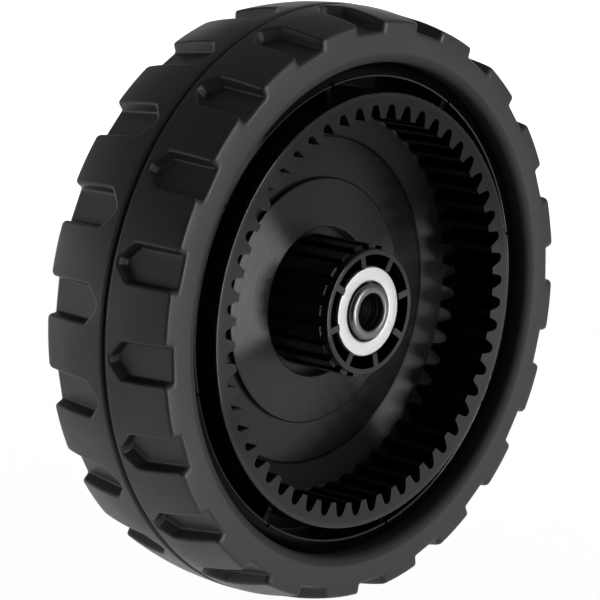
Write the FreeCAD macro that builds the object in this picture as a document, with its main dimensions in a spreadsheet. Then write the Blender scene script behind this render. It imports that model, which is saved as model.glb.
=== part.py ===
"""Drive wheel of a walk-behind lawn mower: a moulded wheel with an internal ring gear, a treaded tyre
and two ball bearings kept apart by a spacer tube. The axle runs along Y, and the gear side faces -Y."""
import FreeCAD, Part
import math
import operator
import os
from types import SimpleNamespace

import Sketcher

# Driving sizes in millimetres and degrees. Tooth depths are in modules, and boss_share is a share.
SIZES = {
    # tyre
    "tyre_radius": 100.8,
    "tyre_width": 54.0,
    "tyre_wall": 17.5,
    "crown_drop": 3.7,
    "shoulder_round": 2.0,
    "lip_round": 4.0,
    "groove_shift": -0.8,
    "groove_width": 2.4,
    "groove_floor": 1.2,
    "groove_depth": 2.2,
    # tread pockets
    "pocket_count": 20,
    "pocket_width": 11.0,
    "pocket_depth": 3.4,
    "pocket_tilt": 8.0,
    "pocket_draft": 13.0,
    "pocket_point": 4.1,
    "pocket_tip": 2.0,
    "pocket_land": 3.5,
    "pocket_phase": 0.5,
    "pocket_lip_round": 2.0,
    # rim barrel and the channel inside it
    "rim_wall": 5.1,
    "rim_setback": 5.0,
    "rim_lip_slope": 2.0,
    "rim_notch_width": 1.2,
    "rim_notch_height": 1.6,
    "rim_notch_depth": 2.0,
    "bead_height": 2.4,
    "bead_width": 8.0,
    "channel_width": 4.6,
    "channel_floor": -4.0,
    "channel_web_setback": 2.5,
    "channel_web_wall": 2.2,
    # internal ring gear
    "tooth_count": 53,
    "tooth_addendum": 1.0,
    "tooth_dedendum": 0.9,
    "tooth_root_round": 1.0,
    "pressure_angle": 20.0,
    "gap_phase": -0.46,
    "gear_wall": 4.0,
    "gear_floor": -5.2,
    # dished disc
    "disc_wall": 4.0,
    "disc_floor": -0.2,
    "cone_run": 8.6,
    "boss_share": 0.54,
    "boss_step": 1.7,
    "boss_rise": 1.9,
    "moat_width": 4.3,
    "moat_depth": 5.0,
    "edge_round": 0.5,
    # hub
    "hub_setback": 1.0,
    "hub_wall": 1.8,
    "hub_pocket_width": 4.05,
    "hub_pocket_floor": 8.0,
    "seat_wall": 2.0,
    "seat_step": 2.85,
    "spoke_count": 8,
    "spoke_wall": 2.2,
    "spoke_phase": 10.2,
    "rib_count": 20,
    "rib_height": 1.2,
    "rib_width": 3.4,
    "rib_setback": 2.4,
    "rib_phase": 8.0,
    # ribs behind the disc
    "back_rib_wall": 2.6,
    "back_rib_hub_setback": 6.0,
    "back_rib_rim_setback": 4.0,
    # ball bearings
    "bore_radius": 6.35,
    "ball_count": 16,
    "ball_radius": 1.985,
    "ball_spacing": 0.114,
    "ball_setback": 5.0,
    "shell_wall": 0.87,
    "shell_setback": 0.7,
    "shell_length": 8.0,
    "flange_width": 1.7,
    "flange_wall": 0.8,
    "mouth_gap": 0.7,
    "mouth_round": 0.7,
    "race_land": 0.9,
    "race_lip": 1.7,
    "race_round": 1.6,
    "race_bevel": 0.5,
    "spacer_wall": 2.05,
    # clearances, and the overlap of features in one moulding
    "fit_gap": 0.05,
    "flange_gap": 0.2,
    "weld": 0.6,
}

# Two places closer than this are the same place
NEAR = 0.01
# A cut starts this far outside the solid
MARGIN = 3.0
# A pocket's floor faces outwards at least this squarely
FLOOR_FACING = 0.9

OPERATIONS = {"+": operator.add, "-": operator.sub, "*": operator.mul, "/": operator.truediv}


class Size:
    """A number together with the sheet expression that gives it."""

    def __init__(self, value, text):
        self.value = value
        self.text = text

    def joined(self, sign, other, swapped=False):
        other = as_size(other)
        left, right = (other, self) if swapped else (self, other)
        return Size(OPERATIONS[sign](left.value, right.value), f"({left.text} {sign} {right.text})")

    def __add__(self, other):
        return self.joined("+", other)

    def __radd__(self, other):
        return self.joined("+", other, swapped=True)

    def __sub__(self, other):
        return self.joined("-", other)

    def __rsub__(self, other):
        return self.joined("-", other, swapped=True)

    def __mul__(self, other):
        return self.joined("*", other)

    def __rmul__(self, other):
        return self.joined("*", other, swapped=True)

    def __truediv__(self, other):
        return self.joined("/", other)

    def __rtruediv__(self, other):
        return self.joined("/", other, swapped=True)

    def __neg__(self):
        return Size(-self.value, f"(-1 * {self.text})")


def as_size(value):
    return value if isinstance(value, Size) else Size(value, str(value))


doc = FreeCAD.newDocument("drive_wheel")
sheet = doc.addObject("Spreadsheet::Sheet", "Dims")


def cell(alias, value):
    """Writes one number into the next row of the sheet and returns it as a Size."""
    cell.row += 1
    sheet.set(f"A{cell.row}", alias)
    sheet.set(f"B{cell.row}", str(value))
    sheet.setAlias(f"B{cell.row}", alias)
    return Size(value, f"Dims.{alias}")


cell.row = 0
d = SimpleNamespace(**{alias: cell(alias, value) for alias, value in SIZES.items()})


# Sizes worked out from the driving ones, from the tread inwards
half_width = d.tyre_width / 2
rim_half = half_width - d.rim_setback
hub_half = half_width - d.hub_setback
gear_face = -hub_half
crest_edge = d.tyre_radius - d.crown_drop
crown_radius = (half_width * half_width + d.crown_drop * d.crown_drop) / (2 * d.crown_drop)
rim_radius = d.tyre_radius - d.tyre_wall
rim_inner = rim_radius - d.rim_wall

# Ring gear
gear_outer = rim_inner - d.channel_width
root_radius = gear_outer - d.gear_wall
pitch_radius = root_radius / (1 + 2 * d.tooth_dedendum / d.tooth_count)
gear_module = 2 * pitch_radius / d.tooth_count
tip_radius = pitch_radius - d.tooth_addendum * gear_module
root_start = root_radius - d.tooth_root_round
pressure = math.radians(SIZES["pressure_angle"])


def involute(angle):
    return math.tan(angle) - angle


def half_gap(radius):
    """Half width of the space between two involute teeth of an internal gear, at a radius."""
    local = math.acos(pitch_radius.value * math.cos(pressure) / radius.value)
    angle = math.pi / (2 * SIZES["tooth_count"]) + involute(pressure) - involute(local)
    return radius.value * math.sin(angle)


gap_at_tip = cell("gap_half_at_tip", half_gap(tip_radius))
gap_at_root = cell("gap_half_at_root", half_gap(root_start))
flank_radius = cell("flank_radius", pitch_radius.value * math.sin(pressure))
root_round = (gap_at_root * gap_at_root + d.tooth_root_round * d.tooth_root_round) / (2 * d.tooth_root_round)

# Bearings, from the balls outwards and inwards
raceway = d.ball_radius + d.fit_gap
ball_circle = d.ball_count * (2 * d.ball_radius + d.ball_spacing) / (2 * math.pi)
race_radius = ball_circle - d.race_land
shell_land = ball_circle + d.race_land
shell_mouth = race_radius + d.mouth_gap
shell_radius = ball_circle + raceway + d.shell_wall
flange_radius = shell_radius + d.flange_width
shell_face = hub_half - d.shell_setback
flange_back = shell_face - d.flange_wall
shell_end = shell_face - d.shell_length
race_end = shell_face + d.race_lip
ball_place = shell_face - d.ball_setback

# Hub and disc
seat_radius = shell_radius + d.fit_gap
seat_outer = seat_radius + d.seat_wall
land_radius = seat_radius - d.seat_step
hub_inner = seat_outer + d.hub_pocket_width
hub_radius = hub_inner + d.hub_wall
moat_radius = hub_radius + d.moat_width
floor_radius = tip_radius - d.cone_run
boss_radius = moat_radius + (floor_radius - moat_radius) * d.boss_share
boss_face = d.disc_floor - d.boss_step
boss_top = boss_face - d.boss_rise
moat_floor = boss_top + d.moat_depth
disc_back = d.disc_floor + d.disc_wall
cone_back = d.gear_floor + d.disc_wall


def origin_feature(body, role):
    return next(item for item in body.Origin.OriginFeatures if item.Role == role)


def new_body(label):
    body = doc.addObject("PartDesign::Body", label)
    body.Label = label
    return body


def new_sketch(body, name, plane, offset=None):
    """Empty sketch on one of the body's origin planes, moved by a placement expression."""
    sketch = body.newObject("Sketcher::SketchObject", name)
    sketch.AttachmentSupport = [(origin_feature(body, plane), "")]
    sketch.MapMode = "FlatFace"
    if offset:
        sketch.setExpression("AttachmentOffset", offset)
    return sketch


def fix_point(sketch, piece, end, point):
    """Dimensions one end of a line or arc from the sketch's origin."""
    for kind, size in zip(("DistanceX", "DistanceY"), point):
        size = as_size(size)
        index = sketch.addConstraint(Sketcher.Constraint(kind, -1, 1, piece, end, size.value))
        sketch.setExpression(f"Constraints[{index}]", size.text)


def arc_between(start, end, radius):
    """Arc of a radius from start to end: positive bulges to the right of the way from start to end."""
    chord = end - start
    half = chord.Length / 2
    sagitta = abs(radius) - math.sqrt(radius * radius - half * half)
    side = FreeCAD.Vector(chord.y, -chord.x, 0).normalize()
    middle = (start + end) / 2 + side * math.copysign(sagitta, radius)
    return Part.Arc(start, middle, end)


def outline(body, name, plane, points, arcs=None, offset=None):
    """Closed outline through dimensioned corners. arcs gives a radius to the run that starts at a corner."""
    arcs = arcs or {}
    sketch = new_sketch(body, name, plane, offset)
    corners = [FreeCAD.Vector(*(as_size(size).value for size in point)) for point in points]
    ends = []
    for number, corner in enumerate(corners):
        after = corners[(number + 1) % len(corners)]
        if number in arcs:
            arc = arc_between(corner, after, as_size(arcs[number]).value)
            piece = sketch.addGeometry(arc)
            flipped = sketch.getPoint(piece, 1).distanceToPoint(corner) > NEAR
            ends.append((piece, 2, 1) if flipped else (piece, 1, 2))
        else:
            piece = sketch.addGeometry(Part.LineSegment(corner, after))
            ends.append((piece, 1, 2))
    for number, (piece, first, last) in enumerate(ends):
        following = ends[(number + 1) % len(ends)]
        sketch.addConstraint(Sketcher.Constraint("Coincident", piece, last, following[0], following[1]))
    for (piece, first, last), point in zip(ends, points):
        fix_point(sketch, piece, first, point)
    for number, radius in arcs.items():
        size = as_size(radius)
        size = size if size.value > 0 else -size
        index = sketch.addConstraint(Sketcher.Constraint("Radius", ends[number][0], size.value))
        sketch.setExpression(f"Constraints[{index}]", size.text)
    return sketch


def box_points(low_across, high_across, low_along, high_along):
    return [
        (low_across, low_along),
        (high_across, low_along),
        (high_across, high_along),
        (low_across, high_along),
    ]


def circle_sketch(body, name, centre, radius):
    """Full circle in the plane of the axle, for a raceway."""
    sketch = new_sketch(body, name, "XY_Plane")
    middle = FreeCAD.Vector(centre[0].value, centre[1].value, 0)
    piece = sketch.addGeometry(Part.Circle(middle, FreeCAD.Vector(0, 0, 1), radius.value))
    fix_point(sketch, piece, 3, centre)
    index = sketch.addConstraint(Sketcher.Constraint("Radius", piece, radius.value))
    sketch.setExpression(f"Constraints[{index}]", radius.text)
    return sketch


def turned(body, name, sketch, kind="Revolution"):
    """Revolution or Groove of a sketch all the way round the axle."""
    feature = body.newObject(f"PartDesign::{kind}", name)
    feature.Profile = sketch
    feature.ReferenceAxis = (sketch, ["V_Axis"])
    feature.Angle = 360
    return feature


def along_axle(place, angle=0):
    """Placement expression of an XZ sketch at a place along the axle, turned about it by an angle."""
    return (f"placement(vector(0; 0; {(-as_size(place)).text}); "
            f"rotation(vector(0; 0; 1); {as_size(angle).text}))")


def round_axle(angle):
    """Placement expression of a sketch in the axle plane, turned about the axle by an angle."""
    return f"placement(vector(0; 0; 0); rotation(vector(0; 1; 0); {(-angle).text}))"


def grown(body, name, sketch, length):
    """Pad from a sketch, which goes towards the gear side from an XZ sketch."""
    pad = body.newObject("PartDesign::Pad", name)
    pad.Profile = sketch
    pad.setExpression("Length", length.text)
    return pad


def repeated(body, name, feature, count):
    """Copies of a feature evenly round the axle."""
    pattern = body.newObject("PartDesign::PolarPattern", name)
    pattern.Originals = [feature]
    pattern.Axis = (origin_feature(body, "Y_Axis"), [""])
    pattern.Angle = 360
    pattern.setExpression("Occurrences", count.text)
    body.Tip = pattern
    return pattern


def rounded(body, name, radius, wanted):
    """Fillet of the edges that a test on the solid and the edge picks."""
    doc.recompute()
    base = body.Tip
    edges = enumerate(base.Shape.Edges, 1)
    fillet = body.newObject("PartDesign::Fillet", name)
    fillet.Base = (base, [f"Edge{number}" for number, edge in edges if wanted(base.Shape, edge)])
    fillet.setExpression("Radius", radius.text)
    body.Tip = fillet
    return fillet


def on_rings(*rings):
    """Test for the circular edges at each (radius, place along the axle)."""
    places = [(as_size(radius).value, as_size(place).value) for radius, place in rings]

    def wanted(solid, edge):
        if not isinstance(edge.Curve, Part.Circle):
            return False
        found = (edge.Curve.Radius, edge.Curve.Center.y)
        return any(math.dist(found, place) < NEAR for place in places)

    return wanted


def at_pocket_mouth(solid, edge):
    """Test for the edges where a pocket's floor meets the sidewall."""
    surfaces = [face.Surface for face in solid.ancestorsOfType(edge, Part.Face)]
    if not all(isinstance(surface, Part.Plane) for surface in surfaces):
        return False
    middle = edge.CenterOfMass
    outwards = FreeCAD.Vector(middle.x, 0, middle.z).normalize()
    slopes = [abs(surface.Axis.dot(outwards)) for surface in surfaces]
    return min(slopes) < NEAR and max(slopes) > FLOOR_FACING


def make_tyre():
    """Crowned tread ring with a groove and two staggered rows of pointed pockets open at the sidewalls."""
    body = new_body("tyre")
    bore = rim_radius + d.fit_gap
    bead_top = bore + d.bead_height
    bead_side = d.bead_width / 2 + d.fit_gap
    section = [
        (bore, -half_width),
        (crest_edge, -half_width),
        (crest_edge, half_width),
        (bore, half_width),
        (bore, bead_side),
        (bead_top, bead_side),
        (bead_top, -bead_side),
        (bore, -bead_side),
    ]
    half_pitch = 180 / d.pocket_count
    seam = round_axle(d.pocket_phase + half_pitch / 2)
    crown = {1: crown_radius}
    turned(body, "tyre_ring", outline(body, "tyre_section", "XY_Plane", section, crown, seam))
    rounded(body, "tyre_lips", d.lip_round, on_rings((bore, -half_width), (bore, half_width)))
    shoulders = on_rings((crest_edge, -half_width), (crest_edge, half_width))
    rounded(body, "tyre_shoulders", d.shoulder_round, shoulders)
    groove = [
        (d.tyre_radius - d.groove_depth, d.groove_shift - d.groove_floor / 2),
        (d.tyre_radius, d.groove_shift - d.groove_width / 2),
        (d.tyre_radius + MARGIN, d.groove_shift - d.groove_width / 2),
        (d.tyre_radius + MARGIN, d.groove_shift + d.groove_width / 2),
        (d.tyre_radius, d.groove_shift + d.groove_width / 2),
        (d.tyre_radius - d.groove_depth, d.groove_shift + d.groove_floor / 2),
    ]
    groove_sketch = outline(body, "groove_section", "XY_Plane", groove, offset=seam)
    turned(body, "tread_groove", groove_sketch, "Groove")
    front_reach = half_width + d.groove_shift - d.pocket_land
    back_reach = half_width - d.groove_shift - d.pocket_land
    cut_pockets(body, "front_pocket", front_reach, 0, d.pocket_phase)
    cut_pockets(body, "back_pocket", back_reach, 180, d.pocket_phase + half_pitch)
    rounded(body, "pocket_mouths", d.pocket_lip_round, at_pocket_mouth)


def cut_pockets(body, name, reach, facing, phase):
    """One row of pockets: a pointed floor that slopes with the crown, cut outwards with drafted walls."""
    half = d.pocket_width / 2
    tip = d.pocket_tip / 2
    neck = reach - d.pocket_point
    floor = [(-MARGIN, -half), (neck, -half), (reach, -tip), (reach, tip), (neck, half), (-MARGIN, half)]
    side = half_width if facing else -half_width
    bottom = crest_edge - d.pocket_depth
    offset = (f"placement(vector(0; 0; 0); rotation(vector(1; 0; 0); {(-phase).text})) * "
              f"placement(vector({side.text}; 0; {bottom.text}); rotation(vector(0; 0; 1); {facing})) * "
              f"placement(vector(0; 0; 0); rotation(vector(0; 1; 0); {(-d.pocket_tilt).text}))")
    pocket = body.newObject("PartDesign::Pocket", name)
    pocket.Profile = outline(body, f"{name}_floor", "YZ_Plane", floor, offset=offset)
    pocket.Reversed = True
    pocket.setExpression("Length", (d.pocket_depth + 2 * MARGIN).text)
    pocket.setExpression("TaperAngle", d.pocket_draft.text)
    repeated(body, f"{name}s", pocket, d.pocket_count)


def make_wheel_body():
    """Moulded wheel: ring gear, rim barrel, dished disc and hub, with the ribs and webs that tie them."""
    body = new_body("wheel_body")
    add_gear(body)
    turned(body, "wheel_turning", outline(body, "wheel_section", "XY_Plane", wheel_section()))
    rounded(body, "wheel_edges", d.edge_round, on_rings(
        (rim_inner, -rim_half),
        (rim_inner, rim_half),
        (gear_outer, gear_face),
        (boss_radius, boss_face),
        (moat_radius, boss_top),
        (hub_radius, gear_face),
    ))
    add_hub_webs(body)
    add_channel_webs(body)
    add_back_ribs(body)
    cut_rim_notches(body)


def add_gear(body):
    """Ring with involute gaps cut through it. The disc closes their far ends."""
    ring = box_points(tip_radius, gear_outer, gear_face, cone_back - 2 * d.weld)
    turned(body, "gear_ring", outline(body, "gear_section", "XY_Plane", ring))
    gap = [
        (tip_radius - MARGIN, -gap_at_tip),
        (tip_radius, -gap_at_tip),
        (root_start, -gap_at_root),
        (root_start, gap_at_root),
        (tip_radius, gap_at_tip),
        (tip_radius - MARGIN, gap_at_tip),
    ]
    curves = {1: flank_radius, 2: root_round, 3: flank_radius}
    sketch = outline(body, "gap_outline", "XZ_Plane", gap, curves, along_axle(0, d.gap_phase))
    pocket = body.newObject("PartDesign::Pocket", "tooth_gap")
    pocket.Profile = sketch
    pocket.Reversed = True
    pocket.setExpression("Length", (hub_half + MARGIN).text)
    repeated(body, "tooth_gaps", pocket, d.tooth_count)


def wheel_section():
    """Corners of the half section, in along the gear side to the hub and out along the far side."""
    bead_top = rim_radius + d.bead_height
    bead_side = d.bead_width / 2
    front = [
        (rim_radius, d.rim_lip_slope - rim_half),
        (rim_inner, -rim_half),
        (rim_inner, d.channel_floor),
        (gear_outer, d.channel_floor),
        (gear_outer, gear_face),
        (root_radius + d.weld, gear_face),
        (root_radius + d.weld, d.gear_floor),
        (floor_radius, d.disc_floor),
        (boss_radius, d.disc_floor),
        (boss_radius, boss_face),
        (moat_radius, boss_top),
        (moat_radius, moat_floor),
        (hub_radius, moat_floor),
        (hub_radius, gear_face),
        (hub_inner, gear_face),
        (hub_inner, -d.hub_pocket_floor),
        (seat_outer, -d.hub_pocket_floor),
        (seat_outer, -flange_back),
        (seat_radius, -flange_back),
        (seat_radius, -shell_end),
        (land_radius, -shell_end),
    ]
    back = [
        (land_radius, shell_end),
        (seat_radius, shell_end),
        (seat_radius, flange_back),
        (seat_outer, flange_back),
        (seat_outer, d.hub_pocket_floor),
        (hub_inner, d.hub_pocket_floor),
        (hub_inner, hub_half),
        (hub_radius, hub_half),
        (hub_radius, disc_back),
        (floor_radius, disc_back),
        (root_radius, cone_back),
        (rim_inner, cone_back),
        (rim_inner, rim_half),
        (rim_radius, rim_half - d.rim_lip_slope),
        (rim_radius, bead_side),
        (bead_top, bead_side),
        (bead_top, -bead_side),
        (rim_radius, -bead_side),
    ]
    return front + back


def add_hub_webs(body):
    """Spokes between the bearing seats and the hub wall, and the ribs outside it."""
    spoke = box_points(flange_radius + d.flange_gap, hub_inner + d.weld, -d.spoke_wall / 2, d.spoke_wall / 2)
    sketch = outline(body, "spoke_outline", "XZ_Plane", spoke, offset=along_axle(hub_half, d.spoke_phase))
    repeated(body, "spokes", grown(body, "spoke", sketch, 2 * hub_half), d.spoke_count)
    rib = box_points(hub_radius - d.weld, hub_radius + d.rib_height, -d.rib_width / 2, d.rib_width / 2)
    rib_end = moat_floor + d.weld
    sketch = outline(body, "rib_outline", "XZ_Plane", rib, offset=along_axle(rib_end, d.rib_phase))
    length = rib_end + hub_half - d.rib_setback
    repeated(body, "ribs", grown(body, "rib", sketch, length), d.rib_count)


def add_channel_webs(body):
    """Webs across the channel between the gear and the rim."""
    web_half = d.channel_web_wall / 2
    web = box_points(gear_outer - d.weld, rim_inner + d.weld, -web_half, web_half)
    web_end = d.channel_floor + d.weld
    sketch = outline(body, "channel_web_outline", "XZ_Plane", web, offset=along_axle(web_end, d.spoke_phase))
    length = web_end + rim_half - d.channel_web_setback
    repeated(body, "channel_webs", grown(body, "channel_web", sketch, length), d.spoke_count)


def add_back_ribs(body):
    """Ribs behind the disc that follow its back from the hub to the rim."""
    hub_end = hub_inner + d.weld
    rim_end = rim_inner + d.weld
    rib = [
        (hub_end, hub_half - d.back_rib_hub_setback),
        (hub_end, disc_back - d.weld),
        (floor_radius, disc_back - d.weld),
        (root_radius, cone_back - d.weld),
        (rim_end, cone_back - d.weld),
        (rim_end, rim_half - d.back_rib_rim_setback),
    ]
    sketch = outline(body, "back_rib_outline", "XY_Plane", rib, offset=round_axle(d.spoke_phase))
    pad = grown(body, "back_rib", sketch, d.back_rib_wall)
    pad.SideType = "Symmetric"
    repeated(body, "back_ribs", pad, d.spoke_count)


def cut_rim_notches(body):
    """Small notches in the rim's inner edge, in line with the webs."""
    half = d.rim_notch_width / 2
    notch = box_points(rim_inner - MARGIN, rim_inner + d.rim_notch_height, -half, half)
    offset = along_axle(d.rim_notch_depth - rim_half, d.spoke_phase)
    pocket = body.newObject("PartDesign::Pocket", "rim_notch")
    pocket.Profile = outline(body, "rim_notch_outline", "XZ_Plane", notch, offset=offset)
    pocket.Reversed = True
    pocket.setExpression("Length", d.rim_notch_depth.text)
    repeated(body, "rim_notches", pocket, d.spoke_count)


def make_bearing(end, side):
    """Outer shell, inner race and balls of the bearing at one end of the hub."""
    place = side * ball_place
    shell = new_body(f"{end}_bearing_shell")
    section = [
        (shell_mouth, side * (shell_face - d.mouth_round)),
        (shell_mouth + d.mouth_round, side * shell_face),
        (flange_radius, side * shell_face),
        (flange_radius, side * flange_back),
        (shell_radius, side * flange_back),
        (shell_radius, side * shell_end),
        (shell_land, side * shell_end),
        (shell_land, side * flange_back),
        (shell_mouth, side * flange_back),
    ]
    rolled = {0: side * -1 * d.mouth_round}
    turned(shell, f"{end}_shell_ring", outline(shell, f"{end}_shell_section", "XY_Plane", section, rolled))
    shell_track = circle_sketch(shell, f"{end}_shell_track", (ball_circle, place), raceway)
    turned(shell, f"{end}_shell_raceway", shell_track, "Groove")

    race = new_body(f"{end}_inner_race")
    section = [
        (d.bore_radius + d.race_bevel, side * race_end),
        (race_radius - d.race_round, side * race_end),
        (race_radius, side * (race_end - d.race_round)),
        (race_radius, side * shell_end),
        (d.bore_radius + d.race_bevel, side * shell_end),
        (d.bore_radius, side * (shell_end + d.race_bevel)),
        (d.bore_radius, side * (race_end - d.race_bevel)),
    ]
    corner = {1: side * -1 * d.race_round}
    turned(race, f"{end}_race_ring", outline(race, f"{end}_race_section", "XY_Plane", section, corner))
    race_track = circle_sketch(race, f"{end}_race_track", (ball_circle, place), raceway)
    turned(race, f"{end}_race_raceway", race_track, "Groove")

    for number in range(SIZES["ball_count"]):
        make_ball(end, number, place)


def make_ball(end, number, place):
    ball = doc.addObject("Part::Sphere", f"{end}_ball_{number + 1:02d}")
    angle = f"(360 deg * {number} / {d.ball_count.text})"
    ball.setExpression("Radius", d.ball_radius.text)
    ball.setExpression("Placement.Base.x", f"{ball_circle.text} * cos{angle}")
    ball.setExpression("Placement.Base.y", place.text)
    ball.setExpression("Placement.Base.z", f"{ball_circle.text} * sin{angle}")


def make_spacer():
    """Tube that the two inner races are clamped against."""
    body = new_body("bearing_spacer")
    section = box_points(d.bore_radius, d.bore_radius + d.spacer_wall, -shell_end, shell_end)
    turned(body, "spacer_tube", outline(body, "spacer_section", "XY_Plane", section))


make_tyre()
make_wheel_body()
make_spacer()
make_bearing("front", -1)
make_bearing("rear", 1)
doc.recompute()

# Every object has to be sound before anything is written
failed = [item.Name for item in doc.Objects if {"Invalid", "Error"} & set(item.State)]
if failed:
    raise RuntimeError(f"failed objects: {failed}")
kinds = ("PartDesign::Body", "Part::Sphere")
sub_parts = [item for item in doc.Objects if item.TypeId in kinds]
for item in sub_parts:
    if item.Shape.isNull() or not item.Shape.isValid():
        raise RuntimeError(f"bad shape: {item.Label}")

os.makedirs("parts", exist_ok=True)
for item in sub_parts:
    item.Shape.exportStep(f"parts/{item.Label}.step")
    print(item.Label, len(item.Shape.Solids), round(item.Shape.Volume, 1), item.Shape.BoundBox)
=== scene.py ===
"""Looks of a lawn mower drive wheel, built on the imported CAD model.

Shapes are in millimetres until a mesh is made. The camera, the studio and the materials are in metres."""
import math

import bmesh
import bpy
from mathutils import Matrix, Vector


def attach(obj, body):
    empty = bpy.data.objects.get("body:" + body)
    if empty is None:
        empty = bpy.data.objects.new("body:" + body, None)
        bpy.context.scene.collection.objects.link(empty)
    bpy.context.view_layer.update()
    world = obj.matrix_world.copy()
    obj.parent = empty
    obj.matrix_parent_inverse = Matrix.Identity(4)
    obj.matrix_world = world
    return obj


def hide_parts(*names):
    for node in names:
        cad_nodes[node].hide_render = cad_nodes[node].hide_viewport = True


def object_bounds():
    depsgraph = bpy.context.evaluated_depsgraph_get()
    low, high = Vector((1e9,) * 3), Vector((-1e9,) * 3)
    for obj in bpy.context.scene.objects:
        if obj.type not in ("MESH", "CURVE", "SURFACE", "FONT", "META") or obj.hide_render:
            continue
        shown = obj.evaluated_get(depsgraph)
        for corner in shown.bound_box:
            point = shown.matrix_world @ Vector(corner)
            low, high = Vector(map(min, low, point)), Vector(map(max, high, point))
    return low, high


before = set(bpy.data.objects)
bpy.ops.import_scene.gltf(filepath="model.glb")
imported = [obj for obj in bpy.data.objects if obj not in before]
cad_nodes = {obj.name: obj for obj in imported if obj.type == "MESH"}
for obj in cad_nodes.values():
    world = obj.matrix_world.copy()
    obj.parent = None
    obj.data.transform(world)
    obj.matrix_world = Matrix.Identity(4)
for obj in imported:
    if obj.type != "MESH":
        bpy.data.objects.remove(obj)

cad_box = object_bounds()
MM = 0.001

# Tyre
TYRE_RADIUS = 100.77
HALF_WIDTH = 27.0
CROWN_RADIUS = 100.36
SHOULDER_ROUND = 1.2
SHOULDER_START = math.radians(12.0)
SHOULDER_INSET = SHOULDER_ROUND * (1 - math.sin(SHOULDER_START))
SIDE_MIDDLE = 89.6
LIP_ROUND = 2.6
TYRE_BORE = 83.35
BEAD_TOP = 85.75
BEAD_SIDE = 4.05

# Groove between the two rows of lands: its edges along the axle, and its walls as (way in, depth)
GROOVE_FRONT = -4.2
GROOVE_BACK = -0.9
FRONT_WALL = ((0.0, 0.0), (0.4, 0.06), (0.75, 0.27), (1.0, 0.65), (1.2, 1.3), (1.45, 1.68), (1.8, 1.8))
BACK_WALL = ((0.85, 1.68), (0.6, 1.35), (0.38, 0.3), (0.2, 0.06), (0.0, 0.0))

# Tread pockets
POCKETS = 20
HALF_PITCH = math.pi / POCKETS
POCKET_HALF = 5.5
POCKET_TIP = 1.0
POCKET_POINT = 4.1
FRONT_REACH = 20.9
BACK_REACH = 24.3
POCKET_FLOOR = 93.7
POCKET_TILT = math.tan(math.radians(8.0))
POCKET_DRAFT = math.radians(13.0)
POCKET_PHASE = 0.5
CORNER_ROUND = 0.9
MOUTH_ROUND = 2.0
MOUTH_FOOT = 91.6
FLOOR_ROUND = 0.9
TOP_ROUND = 1.1
SUPPORT = 0.12

# Bearings
BALL_CIRCLE = 10.4
BALL_PLACE = 20.3
RACEWAY = 2.035
BEARING_END = 17.3
SHELL_LAND = 11.3
SHELL_RADIUS = 13.3
FLANGE_RADIUS = 15.0
FLANGE_BORE = 10.2
FLANGE_BACK = 24.5
FLANGE_FACE = 25.3
RACE_RADIUS = 9.5
AXLE_RADIUS = 6.35

# Steps of the meshes
MOUTH_STEPS = 2
STRAIGHT_STEPS = 6
ARC_STEPS = 4
POINT_STEPS = 3
LAND_STEPS = 4
FLOOR_STEPS = 5
ROUND_STEPS = 4
LIP_STEPS = 6
GROOVE_STEPS = 16 * POCKETS
LATHE_STEPS = 160
SOFTENED_STEPS = 5
RACEWAY_STEPS = 12
DRAFT_ROUNDS = 4
WELD = 0.002
SHARP_EDGE = math.radians(40.0)


class Skin:
    """Points and faces of one mesh as it is being built."""

    def __init__(self):
        self.points = []
        self.faces = []

    def row(self, points):
        start = len(self.points)
        self.points.extend(points)
        return list(range(start, len(self.points)))

    def strip(self, first, second):
        """Quads between two rows of as many points."""
        for a, b, c, d in zip(first, first[1:], second[1:], second):
            self.faces.append((a, b, c, d))

    def lay(self, rows):
        for first, second in zip(rows, rows[1:]):
            self.strip(first, second)

    def mesh_object(self, name):
        mesh = bpy.data.meshes.new(name)
        mesh.from_pydata([[value * MM for value in point] for point in self.points], [], self.faces)
        work = bmesh.new()
        work.from_mesh(mesh)
        bmesh.ops.remove_doubles(work, verts=work.verts, dist=WELD * MM)
        bmesh.ops.dissolve_degenerate(work, edges=work.edges, dist=WELD * MM)
        bmesh.ops.recalc_face_normals(work, faces=work.faces)
        work.to_mesh(mesh)
        work.free()
        mesh.shade_smooth()
        piece = bpy.data.objects.new(name, mesh)
        bpy.context.scene.collection.objects.link(piece)
        return piece


def spread(low, high, steps):
    return [low + (high - low) * step / steps for step in range(steps + 1)]


def part_way(first, second, share):
    """Point at a share of the way between two others."""
    return tuple(a + (b - a) * share for a, b in zip(first, second))


def crown(place):
    """Radius of the tread at a place across it."""
    return TYRE_RADIUS - CROWN_RADIUS + math.sqrt(CROWN_RADIUS ** 2 - place ** 2)


def pocket_floor(inset):
    return POCKET_FLOOR + inset * POCKET_TILT


def land_height(across, inset):
    """Height of the tread above the axle, in the plane of a pocket's middle."""
    return math.sqrt(crown(HALF_WIDTH - inset) ** 2 - across ** 2)


def flare(inset):
    """How far a pocket's wall opens out near its mouth."""
    near = max(0.0, MOUTH_ROUND - inset)
    return MOUTH_ROUND - math.sqrt(MOUTH_ROUND ** 2 - near ** 2)


def corner_arc(centre, start, turn):
    """Places and outward directions along a rounded corner of the pocket's outline."""
    found = []
    for angle in spread(start, start + turn, ARC_STEPS):
        out = (-math.cos(angle), math.sin(angle))
        found.append((centre[0] + CORNER_ROUND * out[0], centre[1] + CORNER_ROUND * out[1], *out))
    return found


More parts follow.
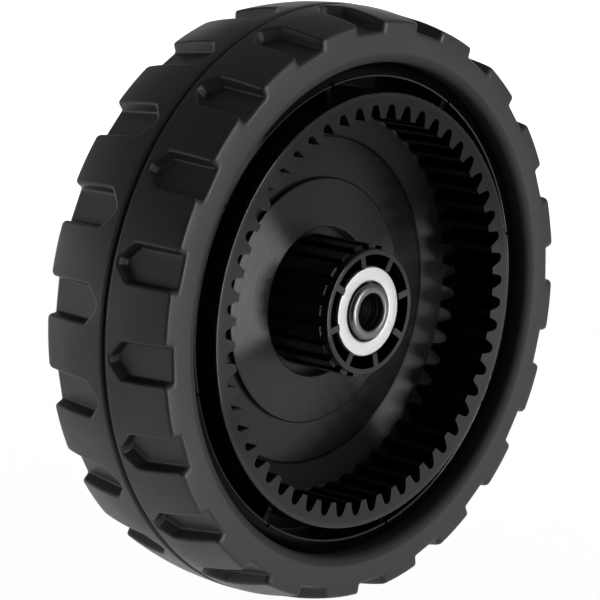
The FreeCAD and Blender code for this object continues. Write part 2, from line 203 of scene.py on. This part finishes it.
def pocket_outline(reach):
    """Outline of a pocket's floor from its mouth round its point: across, inset, outward direction."""
    neck = reach - POCKET_POINT
    lean = math.atan2(POCKET_HALF - POCKET_TIP, POCKET_POINT)
    neck_start = neck - CORNER_ROUND * math.tan(lean / 2)
    tip_cut = CORNER_ROUND * math.tan((math.pi / 2 - lean) / 2)
    insets = spread(SHOULDER_INSET, MOUTH_ROUND, MOUTH_STEPS)
    insets += spread(MOUTH_ROUND, neck_start, STRAIGHT_STEPS)[1:]
    left = [(-POCKET_HALF - flare(inset), inset, -1.0, 0.0) for inset in insets]
    left += corner_arc((CORNER_ROUND - POCKET_HALF, neck_start), 0.0, lean)[1:]
    tip_arc = corner_arc((tip_cut - POCKET_TIP, reach - CORNER_ROUND), lean, math.pi / 2 - lean)
    begin = left[-1]
    end = tip_arc[0]
    for share in spread(0.0, 1.0, POINT_STEPS)[1:]:
        left.append(part_way(begin[:2], end[:2], share) + end[2:])
    left += tip_arc[1:]
    tip = [(0.0, reach, 0.0, 1.0)]
    right = [(-across, inset, -out, along) for across, inset, out, along in reversed(left)]
    return left + tip + right


def wall_profile(across, inset, out, along):
    """Points up a pocket's wall from its floor to the land: rounded foot, drafted wall, rounded top."""

    def at(offset):
        return across + out * offset, inset + along * offset

    corner = 0.0
    for _ in range(DRAFT_ROUNDS):
        place = at(corner)
        corner = (land_height(*place) - pocket_floor(place[1])) * math.tan(POCKET_DRAFT)
    turn = math.pi / 2 - POCKET_DRAFT
    foot = FLOOR_ROUND * math.tan(turn / 2)
    top = TOP_ROUND * math.tan(turn / 2)
    points = []
    for angle in spread(0.0, turn, ROUND_STEPS):
        place = at(FLOOR_ROUND * math.sin(angle) - foot)
        points.append((*place, pocket_floor(place[1]) + FLOOR_ROUND * (1 - math.cos(angle))))
    brink = land_height(*at(corner))
    for step, angle in enumerate(spread(POCKET_DRAFT, math.pi / 2, ROUND_STEPS)):
        place = at(corner + top - TOP_ROUND * math.cos(angle))
        rise = (land_height(*place) - brink) * step / ROUND_STEPS
        points.append((*place, brink - TOP_ROUND * (1 - math.sin(angle)) + rise))
    place = at(corner + top + SUPPORT)
    points.append((*place, land_height(*place)))
    return points


def to_polar(across, inset, height):
    return math.atan2(across, height), inset, math.hypot(across, height)


def tread_columns(reach, groove_inset):
    """Columns of points up a pocket's wall and over the land to the border of its cell."""
    outline = pocket_outline(reach)
    corner = MOUTH_STEPS + STRAIGHT_STEPS + ARC_STEPS
    last = len(outline) - 1
    edge_steps = last - 2 * corner
    columns = []
    for index, step in enumerate(outline):
        column = [to_polar(*point) for point in wall_profile(*step)]
        if index <= corner:
            side = (-HALF_PITCH, SHOULDER_INSET + (groove_inset - SHOULDER_INSET) * index / corner)
        elif index >= last - corner:
            side = (HALF_PITCH, SHOULDER_INSET + (groove_inset - SHOULDER_INSET) * (last - index) / corner)
        else:
            side = (HALF_PITCH * (2 * (index - corner) / edge_steps - 1), groove_inset)
        brink = column[-1][:2]
        for share in spread(0.0, 1.0, LAND_STEPS)[1:]:
            turn, inset = part_way(brink, side, share)
            column.append((turn, inset, crown(HALF_WIDTH - inset)))
        columns.append(column)
    return columns


def floor_rows(columns):
    """Rows across a pocket's floor, from its mouth to its point."""
    last = len(columns) - 1
    rows = []
    for index in range(last // 2 + 1):
        left = columns[index][0][:2]
        right = columns[last - index][0][:2]
        row = []
        for share in spread(0.0, 1.0, FLOOR_STEPS):
            turn, inset = part_way(left, right, share)
            row.append((turn, inset, pocket_floor(inset) / math.cos(turn)))
        rows.append(row)
    return rows


def opened(turn, foot, brink, more):
    """Turn of a point at a pocket's mouth after its walls are moved apart by an angle."""
    size = abs(turn)
    if size < foot:
        share = size / foot
    elif size < brink:
        share = 1.0
    else:
        share = (HALF_PITCH - size) / (HALF_PITCH - brink)
    return turn + math.copysign(more * share, turn)


def side_rows(columns, floor_end):
    """Rows from a pocket's mouth round the shoulder, down the sidewall, round the lip and under the bead."""
    mouth = columns[0][::-1] + floor_end[1:-1] + columns[-1]
    foot = abs(columns[0][0][0])
    brink = abs(columns[0][-1 - LAND_STEPS][0])
    rows = [mouth]
    for angle in spread(SHOULDER_START, math.pi / 2, ROUND_STEPS)[1:]:
        drop = SHOULDER_ROUND * (math.cos(SHOULDER_START) - math.cos(angle))
        inset = SHOULDER_ROUND * (1 - math.sin(angle))
        more = (flare(inset) - flare(SHOULDER_INSET)) / TYRE_RADIUS
        rows.append([(opened(turn, foot, brink, more), inset, radius - drop) for turn, _, radius in mouth])
    rows.append([(turn, inset, MOUTH_FOOT) for turn, inset, _ in rows[-1]])
    down = [(0.0, SIDE_MIDDLE)]
    for angle in spread(0.0, math.pi / 2, LIP_STEPS):
        inset = LIP_ROUND * (1 - math.cos(angle))
        down.append((inset, TYRE_BORE + LIP_ROUND - LIP_ROUND * math.sin(angle)))
    down += [(HALF_WIDTH - BEAD_SIDE, TYRE_BORE), (HALF_WIDTH - BEAD_SIDE, BEAD_TOP)]
    rows += [[(turn, inset, radius) for turn, _, _ in mouth] for inset, radius in down]
    return rows


def tread_cell(skin, side, reach, groove_inset, middle):
    """One pocket with its share of the land, shoulder and sidewall."""

    def place(turn, inset, radius):
        angle = math.radians(middle) + turn
        return radius * math.cos(angle), side * (HALF_WIDTH - inset), radius * math.sin(angle)

    columns = tread_columns(reach, groove_inset)
    floor = floor_rows(columns)
    for rows in (columns, floor, side_rows(columns, floor[0])):
        skin.lay([skin.row(place(*point) for point in row) for row in rows])


def tread_groove(skin):
    """Narrow groove between the two rows of lands."""
    section = [(GROOVE_FRONT + way, deep) for way, deep in FRONT_WALL]
    section += [(GROOVE_BACK - way, deep) for way, deep in BACK_WALL]
    rows = []
    for number in range(GROOVE_STEPS + 1):
        angle = math.radians(POCKET_PHASE + 360.0 * number / GROOVE_STEPS)
        points = []
        for place, deep in section:
            radius = crown(place) - deep
            points.append((radius * math.cos(angle), place, radius * math.sin(angle)))
        rows.append(skin.row(points))
    skin.lay(rows)


def make_tyre():
    skin = Skin()
    pitch = 360.0 / POCKETS
    for number in range(POCKETS):
        middle = POCKET_PHASE + number * pitch
        tread_cell(skin, -1, FRONT_REACH, HALF_WIDTH + GROOVE_FRONT, middle)
        tread_cell(skin, 1, BACK_REACH, HALF_WIDTH - GROOVE_BACK, middle + pitch / 2)
    tread_groove(skin)
    return skin.mesh_object("tread_ring")


def softened(corners):
    """Closed profile of (radius, place, rounding) corners, with each corner rounded."""
    points = []
    for index, (radius, place, rounding) in enumerate(corners):
        corner = (radius, place)
        if not rounding:
            points.append(corner)
            continue
        ways = []
        for other in (corners[index - 1], corners[(index + 1) % len(corners)]):
            way = (other[0] - radius, other[1] - place)
            length = math.hypot(*way)
            ways.append((way[0] / length, way[1] / length))
        cosine = ways[0][0] * ways[1][0] + ways[0][1] * ways[1][1]
        angle = math.acos(max(-1.0, min(1.0, cosine)))
        reach = rounding / math.tan(angle / 2)
        start, end = [(radius + way[0] * reach, place + way[1] * reach) for way in ways]
        for share in spread(0.0, 1.0, SOFTENED_STEPS):
            near = part_way(start, corner, share)
            far = part_way(corner, end, share)
            points.append(part_way(near, far, share))
    return points


def lathe(name, profile):
    """Closed profile turned round the axle."""
    skin = Skin()
    loop = profile + profile[:1]
    rows = []
    for number in range(LATHE_STEPS + 1):
        angle = 2 * math.pi * number / LATHE_STEPS
        rows.append(skin.row((r * math.cos(angle), y, r * math.sin(angle)) for r, y in loop))
    skin.lay(rows)
    piece = skin.mesh_object(name)
    piece.data.set_sharp_from_angle(angle=SHARP_EDGE)
    return piece


def raceway(side, radius):
    """Arc of a ball's track in a cylinder of a radius, from the outer end of the bearing inwards."""
    half = math.acos((radius - BALL_CIRCLE) / RACEWAY)
    return [(BALL_CIRCLE + RACEWAY * math.cos(angle), side * (BALL_PLACE + RACEWAY * math.sin(angle)))
            for angle in spread(half, -half, RACEWAY_STEPS)]


def shell_profile(side):
    outside = softened([
        (SHELL_LAND, side * BEARING_END, 0.2),
        (SHELL_RADIUS, side * BEARING_END, 0.4),
        (SHELL_RADIUS, side * FLANGE_BACK, 0.0),
        (FLANGE_RADIUS, side * FLANGE_BACK, 0.15),
        (FLANGE_RADIUS, side * FLANGE_FACE, 0.3),
        (FLANGE_BORE, side * FLANGE_FACE, 0.7),
        (FLANGE_BORE, side * FLANGE_BACK, 0.05),
        (SHELL_LAND, side * FLANGE_BACK, 0.0),
    ])
    return outside + raceway(side, SHELL_LAND)


def race_profile(side):
    inside = softened([
        (RACE_RADIUS, side * BEARING_END, 0.2),
        (AXLE_RADIUS, side * BEARING_END, 0.3),
        (AXLE_RADIUS, side * HALF_WIDTH, 0.8),
        (RACE_RADIUS, side * HALF_WIDTH, 1.7),
    ])
    return inside + raceway(side, RACE_RADIUS)


# Camera, solved from the circles of the gear, hub and tyre in the photograph
AZIMUTH = math.radians(-47.424)
ELEVATION = math.radians(13.255)
FOCAL_PIXELS = 3185.5
IMAGE_PIXELS = 600
SENSOR_WIDTH = 36.0
CLIP_END = 50.0
GEAR_FACE = (0.0, -0.026, 0.0)
DISTANCE = 1.06135
SIDE_STEP = -0.02322
RAISE = 0.003957


def make_camera():
    data = bpy.data.cameras.new("camera")
    data.sensor_width = SENSOR_WIDTH
    data.lens = FOCAL_PIXELS / IMAGE_PIXELS * SENSOR_WIDTH
    data.clip_end = CLIP_END
    camera = bpy.data.objects.new("camera", data)
    bpy.context.scene.collection.objects.link(camera)
    flat = math.cos(ELEVATION)
    steep = math.sin(ELEVATION)
    right = (math.cos(AZIMUTH), math.sin(AZIMUTH), 0.0)
    back = (right[1] * flat, -right[0] * flat, steep)
    up = (-right[1] * steep, right[0] * steep, flat)
    camera.location = [origin + DISTANCE * b + SIDE_STEP * r + RAISE * u
                       for origin, b, r, u in zip(GEAR_FACE, back, right, up)]
    camera.rotation_euler = (math.pi / 2 - ELEVATION, 0.0, AZIMUTH)
    bpy.context.scene.camera = camera
    bpy.context.scene.view_settings.view_transform = "Standard"


# Sockets of a Mix node that is set to colours
MIX_SHARE = 0
MIX_FIRST = 6
MIX_SECOND = 7
MIX_RESULT = 2


class Nodes:
    """Short calls for building one node tree."""

    def __init__(self, tree):
        self.tree = tree
        tree.nodes.clear()

    def add(self, kind, **settings):
        node = self.tree.nodes.new(kind)
        for name, value in settings.items():
            setattr(node, name, value)
        return node

    def put(self, source, target):
        """Links a node's output, or sets a constant, on an input."""
        if isinstance(source, bpy.types.NodeSocket):
            self.tree.links.new(source, target)
        else:
            target.default_value = source

    def math(self, operation, *values):
        node = self.add("ShaderNodeMath", operation=operation)
        for socket, value in zip(node.inputs, values):
            self.put(value, socket)
        return node.outputs[0]

    def ramp(self, value, low, high, to_low, to_high):
        node = self.add("ShaderNodeMapRange", interpolation_type="SMOOTHSTEP")
        for socket, item in zip(node.inputs, (value, low, high, to_low, to_high)):
            self.put(item, socket)
        return node.outputs[0]

    def between(self, value, low, high, soft):
        """1 where a value lies between two others, with soft ends."""
        start = self.ramp(value, low - soft, low + soft, 0.0, 1.0)
        end = self.ramp(value, high - soft, high + soft, 1.0, 0.0)
        return self.math("MULTIPLY", start, end)

    def switch(self, share, off, on):
        """One number where a share is 0, and another where it is 1."""
        return self.ramp(share, 0.0, 1.0, off, on)

    def blend(self, share, first, second):
        """Mix of two colours."""
        node = self.add("ShaderNodeMix", data_type="RGBA")
        self.put(share, node.inputs[MIX_SHARE])
        self.put(first, node.inputs[MIX_FIRST])
        self.put(second, node.inputs[MIX_SECOND])
        return node.outputs[MIX_RESULT]

    def noise(self, place, scale, detail):
        node = self.add("ShaderNodeTexNoise")
        self.put(place, node.inputs["Vector"])
        self.put(scale, node.inputs["Scale"])
        self.put(detail, node.inputs["Detail"])
        return node.outputs["Fac"]

    def rings(self, value, scale, detail):
        """Noise along one value, which makes rings when the value is a radius."""
        node = self.add("ShaderNodeTexNoise", noise_dimensions="1D")
        self.put(value, node.inputs["W"])
        self.put(scale, node.inputs["Scale"])
        self.put(detail, node.inputs["Detail"])
        return node.outputs["Fac"]

    def bump(self, height, strength, distance, normal=None):
        node = self.add("ShaderNodeBump")
        self.put(height, node.inputs["Height"])
        self.put(strength, node.inputs["Strength"])
        self.put(distance, node.inputs["Distance"])
        if normal:
            self.put(normal, node.inputs["Normal"])
        return node.outputs["Normal"]

    def round_axle(self, place):
        """Distance from the axle, and the place along it."""
        parts = self.add("ShaderNodeSeparateXYZ")
        self.put(place, parts.inputs[0])
        across = self.math("MULTIPLY", parts.outputs["X"], parts.outputs["X"])
        tall = self.math("MULTIPLY", parts.outputs["Z"], parts.outputs["Z"])
        return self.math("SQRT", self.math("ADD", across, tall)), parts.outputs["Y"]

    def seen_directly(self):
        """1 for rays that show the backdrop: straight from the camera, mirrored or through glass."""
        path = self.add("ShaderNodeLightPath")
        mirrored = self.math("MAXIMUM", path.outputs["Is Glossy Ray"], path.outputs["Is Transmission Ray"])
        return self.math("MAXIMUM", path.outputs["Is Camera Ray"], mirrored)


# Studio. A turn is measured round Z from the gear side towards +X, and a rise is the Z of a direction.
# Behind the wheel is a white backdrop that dims upwards.
BACK_LEVEL = 1.3
SKY_RISE = (0.0, 0.42)
SKY_LEVEL = 0.19
TURN_SOFT = math.radians(7.0)
# In front of the gear is a grey room, and round the camera a dark one
FRONT_TURN = (math.radians(-20.0), math.radians(95.0))
FRONT_LEVEL = 0.42
ROOM_TURN = (math.radians(-88.0), math.radians(-20.0))
ROOM_LEVEL = 0.03
# The room has a low lit wing, and a bright panel between two slanting lines, each (rise at no turn, slope)
WING_TURN = (math.radians(-19.0), math.radians(6.0))
WING_RISE = (-0.28, 0.16)
WING_SOFT = 0.06
WING_LEVEL = 3.0
PANEL_TURN = (math.radians(14.0), math.radians(27.0))
PANEL_TOP = (0.917, -1.565)
PANEL_FOOT = (-0.462, 0.315)
PANEL_RISE = 0.30
PANEL_SOFT = math.radians(1.0)
PANEL_LEVEL = 14.5
# The white table ends short on the camera's side, between two turns in degrees
TABLE_DROP = 0.0003
TABLE_FAR = 0.6
TABLE_NEAR = 0.2
TABLE_NEAR_TURN = (-103, 32)
TABLE_STEP = 3
TABLE_GLOW = 0.97
TABLE_SHADE = (0.09, 0.09, 0.09, 1.0)
TABLE_WHITE = (0.8, 0.8, 0.8, 1.0)
WHITE = (1.0, 1.0, 1.0, 1.0)


def panel_mask(nodes, turn, rise):
    """1 inside the bright panel."""
    inside = nodes.between(turn, *PANEL_TURN, PANEL_SOFT)
    for (level, slope), below, above in ((PANEL_TOP, 1.0, 0.0), (PANEL_FOOT, 0.0, 1.0)):
        line = nodes.math("MULTIPLY_ADD", turn, slope, level)
        height = nodes.math("SUBTRACT", rise, line)
        kept = nodes.ramp(height, -PANEL_SOFT, PANEL_SOFT, below, above)
        inside = nodes.math("MULTIPLY", inside, kept)
    under = nodes.ramp(rise, PANEL_RISE - PANEL_SOFT, PANEL_RISE, 1.0, 0.0)
    return nodes.math("MULTIPLY", inside, under)


def make_world():
    world = bpy.data.worlds.new("studio")
    bpy.context.scene.world = world
    world.use_nodes = True
    nodes = Nodes(world.node_tree)
    way = nodes.add("ShaderNodeSeparateXYZ")
    nodes.put(nodes.add("ShaderNodeTexCoord").outputs["Generated"], way.inputs[0])
    rise = way.outputs["Z"]
    turn = nodes.math("ARCTAN2", way.outputs["X"], nodes.math("MULTIPLY", way.outputs["Y"], -1.0))
    light = nodes.ramp(rise, *SKY_RISE, BACK_LEVEL, SKY_LEVEL)
    light = nodes.switch(nodes.between(turn, *FRONT_TURN, TURN_SOFT), light, FRONT_LEVEL)
    light = nodes.switch(nodes.between(turn, *ROOM_TURN, TURN_SOFT), light, ROOM_LEVEL)
    wing = nodes.between(turn, *WING_TURN, WING_SOFT)
    wing = nodes.math("MULTIPLY", wing, nodes.between(rise, *WING_RISE, WING_SOFT))
    light = nodes.switch(wing, light, WING_LEVEL)
    light = nodes.switch(panel_mask(nodes, turn, rise), light, PANEL_LEVEL)
    path = nodes.add("ShaderNodeLightPath")
    background = nodes.add("ShaderNodeBackground")
    background.inputs["Color"].default_value = WHITE
    shown = nodes.math("MAXIMUM", light, path.outputs["Is Camera Ray"])
    nodes.put(shown, background.inputs["Strength"])
    nodes.put(background.outputs[0], nodes.add("ShaderNodeOutputWorld").inputs[0])


def table_material():
    """White that glows where it is seen, and keeps a soft shadow."""
    material = bpy.data.materials.new("table_white")
    material.use_nodes = True
    nodes = Nodes(material.node_tree)
    glow = nodes.add("ShaderNodeEmission")
    glow.inputs["Strength"].default_value = TABLE_GLOW
    shaded = nodes.add("ShaderNodeBsdfDiffuse")
    shaded.inputs["Color"].default_value = TABLE_SHADE
    shown = nodes.add("ShaderNodeAddShader")
    nodes.put(glow.outputs[0], shown.inputs[0])
    nodes.put(shaded.outputs[0], shown.inputs[1])
    plain = nodes.add("ShaderNodeBsdfDiffuse")
    plain.inputs["Color"].default_value = TABLE_WHITE
    mixed = nodes.add("ShaderNodeMixShader")
    nodes.put(nodes.seen_directly(), mixed.inputs[0])
    nodes.put(plain.outputs[0], mixed.inputs[1])
    nodes.put(shown.outputs[0], mixed.inputs[2])
    nodes.put(mixed.outputs[0], nodes.add("ShaderNodeOutputMaterial").inputs[0])
    return material


def make_table():
    low = cad_box[0][2] - TABLE_DROP
    edge = []
    for turn in range(-180, 180, TABLE_STEP):
        near = TABLE_NEAR_TURN[0] <= turn <= TABLE_NEAR_TURN[1]
        radius = TABLE_NEAR if near else TABLE_FAR
        angle = math.radians(turn)
        edge.append((radius * math.sin(angle), -radius * math.cos(angle), low))
    faces = [(0, place + 1, (place + 1) % len(edge) + 1) for place in range(len(edge))]
    mesh = bpy.data.meshes.new("table")
    mesh.from_pydata([(0.0, 0.0, low)] + edge, [], faces)
    mesh.materials.append(table_material())
    table = bpy.data.objects.new("table", mesh)
    bpy.context.scene.collection.objects.link(table)


# Spans of a noise's value over which a surface changes
WIDE_SPAN = (0.25, 0.75)
MIDDLE_SPAN = (0.3, 0.7)
SPECK_SPAN = (0.35, 0.65)
RING_SPAN = (0.4, 0.6)

# Tyre's material
TYRE_COLOURS = ((0.009, 0.0097, 0.013, 1.0), (0.014, 0.0147, 0.019, 1.0))
TYRE_FINISH = (0.38, 0.50)
TYRE_SHINE = 0.42
LIP_EDGE = (0.0860, 0.0868)
LIP_FINISH = 0.75

# Black moulding: zones by their distance from the axle, and steps by their place along it
BOSS_ZONE = (0.0215, 0.0415)
TURNED_ZONE = (0.024, 0.0415)
DISC_ZONE = (0.0415, 0.0565)
CONE_ZONE = (0.0565, 0.0648)
DISH_ZONE = (0.0415, 0.0648)
DISH_EDGE = (0.0560, 0.0566)
ZONE_SOFT = 0.0005
CONE_SHINE_ZONE = (0.0565, 0.0649)
TEETH_ZONE = (0.0649, 0.0720)
SHINE_SOFT = 0.0003
# Painted shade: the tooth gaps, the seam round the disc and the channel are darkened in colour and shine
# less
DEEP_ZONES = ((0.0556, 0.0567), (0.0738, 0.0779), (0.0787, 0.0840))
DEEP_SOFT = 0.0002
GEAR_FLOOR_STEP = (-0.0056, -0.0054)
GEAR_FACE_STEP = (-0.0243, -0.0240)
# Painted highlight: a pale thin ring on the rim's end, along its inner edge
RIM_HIGHLIGHT_ZONE = (0.0780, 0.0787)
RIM_HIGHLIGHT_SOFT = 0.0001
RIM_END_STEP = (-0.0214, -0.0212)

# Black moulding: colours, roughness, specular levels and bump strengths
MOULDING_COLOURS = ((0.003, 0.0032, 0.004, 1.0), (0.006, 0.0063, 0.0075, 1.0))
# Painted shade for the deep places, and a painted highlight for a thin line at the rim's inner edge
PAINTED_SHADE_COLOUR = (0.0014, 0.0014, 0.0015, 1.0)
PAINTED_HIGHLIGHT_COLOUR = (0.024, 0.024, 0.025, 1.0)
PLAIN_FINISH = 0.15
BOSS_FINISH = (0.242, 0.268)
DISC_FINISH = 0.15
CONE_FINISH = 0.22
CLOUD_FINISH = (-0.01, 0.02)
PLAIN_SHINE = 0.42
DISH_SHINE = 0.275
CONE_SHINE = 0.11
TEETH_SHINE = 0.3
DEEP_SHINE = 0.06
PLAIN_TURNING = 0.02
BOSS_TURNING = 0.14
DISC_GRAIN = 0.4
OUTER_GRAIN = 0.08

# Metals: share of the colour in the dark specks, spread of the roughness, and light and dark rings in the
# bore
SPECK_SHARE = 0.95
FINISH_SPREAD = (0.85, 1.15)
BORE_EDGE = (0.0066, 0.0069)
BORE_COLOURS = ((0.06, 0.06, 0.06, 1.0), (0.5, 0.5, 0.5, 1.0))


def new_material(name):
    """Material with a Principled shader, and the wheel's own coordinates."""
    material = bpy.data.materials.new(name)
    material.use_nodes = True
    nodes = Nodes(material.node_tree)
    shader = nodes.add("ShaderNodeBsdfPrincipled")
    nodes.put(shader.outputs[0], nodes.add("ShaderNodeOutputMaterial").inputs[0])
    place = nodes.add("ShaderNodeTexCoord").outputs["Object"]
    return material, nodes, shader, place


def tyre_material():
    """Dark moulding with clouds of gloss, and a matt lip."""
    material, nodes, shader, place = new_material("tyre_moulding")
    cloud = nodes.noise(place, scale=45.0, detail=4.0)
    grain = nodes.noise(place, scale=2600.0, detail=3.0)
    radius, _ = nodes.round_axle(place)
    nodes.put(nodes.blend(cloud, *TYRE_COLOURS), shader.inputs["Base Color"])
    finish = nodes.ramp(cloud, *WIDE_SPAN, *TYRE_FINISH)
    nodes.put(nodes.ramp(radius, *LIP_EDGE, LIP_FINISH, finish), shader.inputs["Roughness"])
    shader.inputs["Specular IOR Level"].default_value = TYRE_SHINE
    nodes.put(nodes.bump(grain, strength=0.25, distance=0.0002), shader.inputs["Normal"])
    return material


def recess_shade_mask(nodes, radius, along):
    """Painted shade: 1 in the tooth gaps, the seam round the disc and the channel, and 0 on the gear's face.
    """
    deep = nodes.between(radius, *TEETH_ZONE, DEEP_SOFT)
    deep = nodes.math("MULTIPLY", deep, nodes.ramp(along, *GEAR_FLOOR_STEP, 1.0, 0.0))
    for zone in DEEP_ZONES:
        deep = nodes.math("MAXIMUM", deep, nodes.between(radius, *zone, DEEP_SOFT))
    return nodes.math("MULTIPLY", deep, nodes.ramp(along, *GEAR_FACE_STEP, 0.0, 1.0))


def wheel_material():
    """Black moulding with the fine rings of a turned mould, with painted shade in its deep places and a
    painted highlight along the rim's inner edge.
    """
    material, nodes, shader, place = new_material("black_moulding")
    cloud = nodes.noise(place, scale=60.0, detail=3.0)
    grain = nodes.noise(place, scale=4000.0, detail=2.0)
    radius, along = nodes.round_axle(place)
    rings = nodes.rings(radius, scale=1300.0, detail=3.0)
    deep = recess_shade_mask(nodes, radius, along)
    dished = nodes.between(radius, *DISH_ZONE, ZONE_SOFT)

    # Painted highlight: a pale thin line along the rim's inner edge
    rim_highlight = nodes.between(radius, *RIM_HIGHLIGHT_ZONE, RIM_HIGHLIGHT_SOFT)
    rim_highlight = nodes.math("MULTIPLY", rim_highlight, nodes.ramp(along, *RIM_END_STEP, 1.0, 0.0))
    colour = nodes.blend(cloud, *MOULDING_COLOURS)
    # Painted shade darkens the deep places
    colour = nodes.blend(deep, colour, PAINTED_SHADE_COLOUR)
    nodes.put(nodes.blend(rim_highlight, colour, PAINTED_HIGHLIGHT_COLOUR), shader.inputs["Base Color"])

    boss_finish = nodes.ramp(rings, *RING_SPAN, *BOSS_FINISH)
    finish = PLAIN_FINISH
    for zone, rough in ((BOSS_ZONE, boss_finish), (DISC_ZONE, DISC_FINISH), (CONE_ZONE, CONE_FINISH)):
        finish = nodes.switch(nodes.between(radius, *zone, ZONE_SOFT), finish, rough)
    finish = nodes.math("ADD", finish, nodes.ramp(cloud, *MIDDLE_SPAN, *CLOUD_FINISH))
    nodes.put(finish, shader.inputs["Roughness"])

    level = nodes.switch(dished, PLAIN_SHINE, DISH_SHINE)
    for zone, shine in ((CONE_SHINE_ZONE, CONE_SHINE), (TEETH_ZONE, TEETH_SHINE)):
        level = nodes.switch(nodes.between(radius, *zone, SHINE_SOFT), level, shine)
    nodes.put(nodes.switch(deep, level, DEEP_SHINE), shader.inputs["Specular IOR Level"])

    shader.inputs["Anisotropic"].default_value = 1.0
    shader.inputs["Anisotropic Rotation"].default_value = 0.25
    tangent = nodes.add("ShaderNodeTangent", direction_type="RADIAL", axis="Y")
    nodes.put(tangent.outputs[0], shader.inputs["Tangent"])
    turned = nodes.between(radius, *TURNED_ZONE, ZONE_SOFT)
    turned = nodes.switch(turned, PLAIN_TURNING, BOSS_TURNING)
    ringed = nodes.bump(rings, turned, distance=0.0002)
    grained = nodes.math("MULTIPLY", dished, DISC_GRAIN)
    grained = nodes.ramp(radius, *DISH_EDGE, grained, OUTER_GRAIN)
    nodes.put(nodes.bump(grain, grained, distance=0.00005, normal=ringed), shader.inputs["Normal"])
    return material


def metal_material(name, colour, roughness, turning, bored=False):
    """Plated or turned steel with fine turning marks round the axle, and light and dark rings in its bore.
    """
    material, nodes, shader, place = new_material(name)
    radius, along = nodes.round_axle(place)
    marks = nodes.rings(nodes.math("ADD", radius, along), scale=5000.0, detail=2.0)
    specks = nodes.ramp(nodes.noise(place, scale=900.0, detail=3.0), *SPECK_SPAN, 0.0, 1.0)
    dark = [value * SPECK_SHARE for value in colour]
    shade = nodes.blend(specks, (*dark, 1.0), (*colour, 1.0))
    if bored:
        # The bore is coloured a lighter grey than the race's faces, with dark rings along it
        bore_rings = nodes.ramp(nodes.rings(along, scale=900.0, detail=1.0), *RING_SPAN, 0.0, 1.0)
        inside = nodes.ramp(radius, *BORE_EDGE, 1.0, 0.0)
        shade = nodes.blend(inside, shade, nodes.blend(bore_rings, *BORE_COLOURS))
    nodes.put(shade, shader.inputs["Base Color"])
    shader.inputs["Metallic"].default_value = 1.0
    finish = nodes.ramp(marks, *MIDDLE_SPAN, *(roughness * share for share in FINISH_SPREAD))
    nodes.put(finish, shader.inputs["Roughness"])
    nodes.put(nodes.bump(marks, turning, distance=0.00005), shader.inputs["Normal"])
    return material


def dress(piece, material):
    piece.data.materials.clear()
    piece.data.materials.append(material)


def add_piece(piece, material, body, node):
    dress(piece, material)
    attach(piece, body)
    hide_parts(node)


make_camera()
make_world()
make_table()
plastic = wheel_material()
zinc = metal_material("zinc_plate", (0.495, 0.506, 0.499), roughness=0.5, turning=0.02)
race_steel = metal_material("race_steel", (0.157, 0.157, 0.157), roughness=0.3, turning=0.12, bored=True)
ball_steel = metal_material("ball_steel", (0.66, 0.66, 0.67), roughness=0.1, turning=0.0)
add_piece(make_tyre(), tyre_material(), "wheel", "tyre")
for end, side in (("front", -1), ("rear", 1)):
    shell = lathe(f"{end}_shell", shell_profile(side))
    add_piece(shell, zinc, "wheel", f"{end}_bearing_shell")
    race = lathe(f"{end}_race", race_profile(side))
    add_piece(race, race_steel, "axle_side", f"{end}_inner_race")
dress(cad_nodes["wheel_body"], plastic)
dress(cad_nodes["bearing_spacer"], race_steel)
for name, node in cad_nodes.items():
    if "_ball_" in name:
        dress(node, ball_steel)
